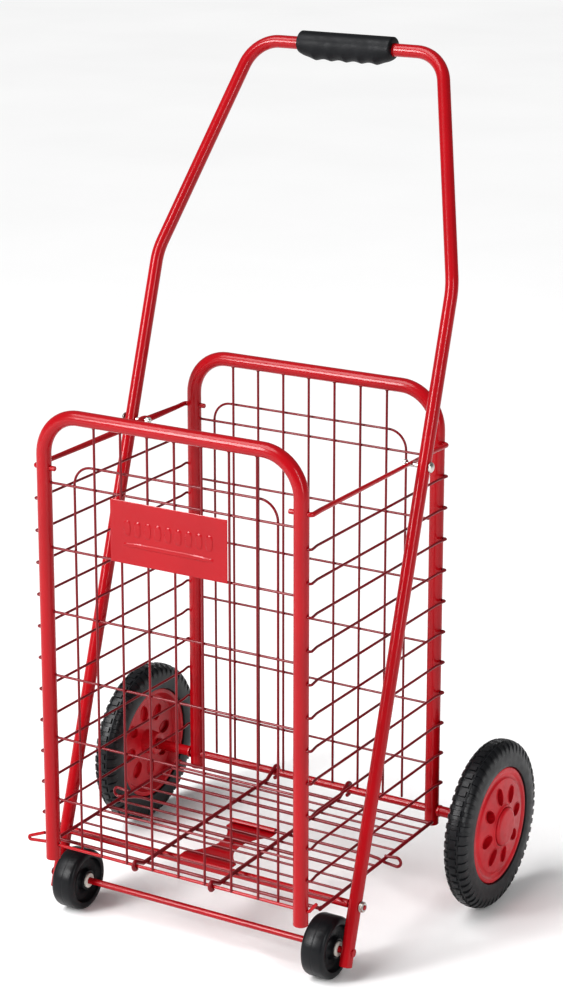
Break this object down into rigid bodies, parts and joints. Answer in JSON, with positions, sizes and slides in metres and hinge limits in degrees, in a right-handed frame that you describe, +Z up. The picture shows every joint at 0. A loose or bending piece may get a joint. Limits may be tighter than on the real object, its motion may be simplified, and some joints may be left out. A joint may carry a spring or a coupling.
{
  "type": "folding rolling basket trolley",
  "caption": "Folding wire-basket shopping trolley: two tube frames joined by parallel side rods, leaning handle frame, floor tray, large rear wheels and small front wheels.",
  "frame": {"origin": "on the floor, at the middle of the trolley's outline", "axes": "+Z up; +X the trolley's right; the front, with the plate and small wheels, faces -Y"},
  "size_m": [0.562, 0.441, 1.0608],
  "materials": {
    "tube_enamel": "glossy red enamel on steel tube and sheet",
    "wire_enamel": "glossy red enamel on steel wire",
    "grip_plastic": "satin black moulding with a fine grain",
    "tyre_rubber": "black moulded tyre with a blocky tread",
    "wheel_plastic": "smooth black moulded wheel",
    "bush_nylon": "pale grey nylon",
    "rim_plastic": "red moulded wheel rim",
    "zinc_steel": "bright zinc-plated fastener"
  },
  "bodies": {
    "rear_frame": {"rear_tube": "tube_enamel", "rear_grid": "wire_enamel", "rear_axle": "tube_enamel", "axle_spacer_left": "tube_enamel", "axle_spacer_right": "tube_enamel"},
    "link_01": {"side_rod_01_left": "wire_enamel", "side_rod_01_right": "wire_enamel"},
    "link_02": {"side_rod_02_left": "wire_enamel", "side_rod_02_right": "wire_enamel"},
    "link_03": {"side_rod_03_left": "wire_enamel", "side_rod_03_right": "wire_enamel"},
    "link_04": {"side_rod_04_left": "wire_enamel", "side_rod_04_right": "wire_enamel"},
    "link_05": {"side_rod_05_left": "wire_enamel", "side_rod_05_right": "wire_enamel"},
    "link_06": {"side_rod_06_left": "wire_enamel", "side_rod_06_right": "wire_enamel"},
    "link_07": {"side_rod_07_left": "wire_enamel", "side_rod_07_right": "wire_enamel"},
    "link_08": {"side_rod_08_left": "wire_enamel", "side_rod_08_right": "wire_enamel"},
    "link_09": {"side_rod_09_left": "wire_enamel", "side_rod_09_right": "wire_enamel"},
    "link_10": {"side_rod_10_left": "wire_enamel", "side_rod_10_right": "wire_enamel"},
    "link_11": {"side_rod_11_left": "wire_enamel", "side_rod_11_right": "wire_enamel"},
    "link_12": {"side_rod_12_left": "wire_enamel", "side_rod_12_right": "wire_enamel"},
    "front_panel": {"front_tube": "tube_enamel", "front_grid": "wire_enamel", "name_plate": "tube_enamel"},
    "tray": {"floor_tray": "wire_enamel"},
    "plate": {"link_plate": "tube_enamel"},
    "handle": {"handle_tube": "tube_enamel", "grip": "grip_plastic", "cross_rod": "tube_enamel", "front_axle": "tube_enamel", "cross_rod_nut_left": "zinc_steel", "cross_rod_nut_right": "zinc_steel", "pivot_bolt_left": "zinc_steel", "pivot_bolt_right": "zinc_steel", "pivot_nut_left": "zinc_steel", "pivot_nut_right": "zinc_steel", "axle_cap_left": "tube_enamel", "axle_cap_right": "tube_enamel"},
    "front_wheel_left": {"front_wheel_left": "wheel_plastic", "wheel_bush_left": "bush_nylon"},
    "front_wheel_right": {"front_wheel_right": "wheel_plastic", "wheel_bush_right": "bush_nylon"},
    "rear_wheel_left": {"rear_rim_left": "rim_plastic", "rear_tyre_left": "tyre_rubber", "hub_cap_left": "rim_plastic"},
    "rear_wheel_right": {"rear_rim_right": "rim_plastic", "rear_tyre_right": "tyre_rubber", "hub_cap_right": "rim_plastic"}
  },
  "joints": [
    {"name": "fold", "type": "hinge", "parent": "rear_frame", "child": "link_01", "pos_m": [0, 0.1145, 0.585], "axis": [-1, 0, 0], "range_deg": [0, 72]},
    {"name": "link_02_swing", "type": "hinge", "parent": "rear_frame", "child": "link_02", "pos_m": [0, 0.1145, 0.545], "axis": [-1, 0, 0], "range_deg": [0, 72]},
    {"name": "link_03_swing", "type": "hinge", "parent": "rear_frame", "child": "link_03", "pos_m": [0, 0.1145, 0.505], "axis": [-1, 0, 0], "range_deg": [0, 72]},
    {"name": "link_04_swing", "type": "hinge", "parent": "rear_frame", "child": "link_04", "pos_m": [0, 0.1145, 0.465], "axis": [-1, 0, 0], "range_deg": [0, 72]},
    {"name": "link_05_swing", "type": "hinge", "parent": "rear_frame", "child": "link_05", "pos_m": [0, 0.1145, 0.425], "axis": [-1, 0, 0], "range_deg": [0, 72]},
    {"name": "link_06_swing", "type": "hinge", "parent": "rear_frame", "child": "link_06", "pos_m": [0, 0.1145, 0.385], "axis": [-1, 0, 0], "range_deg": [0, 72]},
    {"name": "link_07_swing", "type": "hinge", "parent": "rear_frame", "child": "link_07", "pos_m": [0, 0.1145, 0.345], "axis": [-1, 0, 0], "range_deg": [0, 72]},
    {"name": "link_08_swing", "type": "hinge", "parent": "rear_frame", "child": "link_08", "pos_m": [0, 0.1145, 0.305], "axis": [-1, 0, 0], "range_deg": [0, 72]},
    {"name": "link_09_swing", "type": "hinge", "parent": "rear_frame", "child": "link_09", "pos_m": [0, 0.1145, 0.265], "axis": [-1, 0, 0], "range_deg": [0, 72]},
    {"name": "link_10_swing", "type": "hinge", "parent": "rear_frame", "child": "link_10", "pos_m": [0, 0.1145, 0.225], "axis": [-1, 0, 0], "range_deg": [0, 72]},
    {"name": "link_11_swing", "type": "hinge", "parent": "rear_frame", "child": "link_11", "pos_m": [0, 0.1145, 0.185], "axis": [-1, 0, 0], "range_deg": [0, 72]},
    {"name": "link_12_swing", "type": "hinge", "parent": "rear_frame", "child": "link_12", "pos_m": [0, 0.1145, 0.145], "axis": [-1, 0, 0], "range_deg": [0, 72]},
    {"name": "tray_swing", "type": "hinge", "parent": "rear_frame", "child": "tray", "pos_m": [0, 0.1145, 0.106], "axis": [-1, 0, 0], "range_deg": [0, 72]},
    {"name": "front_panel_hinge", "type": "hinge", "parent": "link_01", "child": "front_panel", "pos_m": [0, -0.2115, 0.585], "axis": [-1, 0, 0], "range_deg": [-72, 0]},
    {"name": "handle_hinge", "type": "hinge", "parent": "link_01", "child": "handle", "pos_m": [0, 0.01847, 0.585], "axis": [-1, 0, 0], "range_deg": [-79, 0]},
    {"name": "plate_hinge", "type": "hinge", "parent": "tray", "child": "plate", "pos_m": [0, -0.0305, 0.099], "axis": [-1, 0, 0], "range_deg": [-111, 0]},
    {"name": "front_wheel_left_spin", "type": "hinge", "parent": "handle", "child": "front_wheel_left", "pos_m": [-0.178, -0.15695, 0.0375], "axis": [1, 0, 0], "continuous": true},
    {"name": "front_wheel_right_spin", "type": "hinge", "parent": "handle", "child": "front_wheel_right", "pos_m": [0.178, -0.15695, 0.0375], "axis": [1, 0, 0], "continuous": true},
    {"name": "rear_wheel_left_spin", "type": "hinge", "parent": "rear_frame", "child": "rear_wheel_left", "pos_m": [-0.257, 0.1145, 0.106], "axis": [1, 0, 0], "continuous": true},
    {"name": "rear_wheel_right_spin", "type": "hinge", "parent": "rear_frame", "child": "rear_wheel_right", "pos_m": [0.257, 0.1145, 0.106], "axis": [1, 0, 0], "continuous": true}
  ],
  "couplings": [
    {"joint": "link_02_swing", "follows": "fold", "ratio": 1},
    {"joint": "link_03_swing", "follows": "fold", "ratio": 1},
    {"joint": "link_04_swing", "follows": "fold", "ratio": 1},
    {"joint": "link_05_swing", "follows": "fold", "ratio": 1},
    {"joint": "link_06_swing", "follows": "fold", "ratio": 1},
    {"joint": "link_07_swing", "follows": "fold", "ratio": 1},
    {"joint": "link_08_swing", "follows": "fold", "ratio": 1},
    {"joint": "link_09_swing", "follows": "fold", "ratio": 1},
    {"joint": "link_10_swing", "follows": "fold", "ratio": 1},
    {"joint": "link_11_swing", "follows": "fold", "ratio": 1},
    {"joint": "link_12_swing", "follows": "fold", "ratio": 1},
    {"joint": "tray_swing", "follows": "fold", "ratio": 1},
    {"joint": "front_panel_hinge", "follows": "fold", "ratio": -1},
    {"joint": "handle_hinge", "follows": "fold", "ratio": -1.0896},
    {"joint": "plate_hinge", "follows": "fold", "ratio": -1.5329}
  ]
}
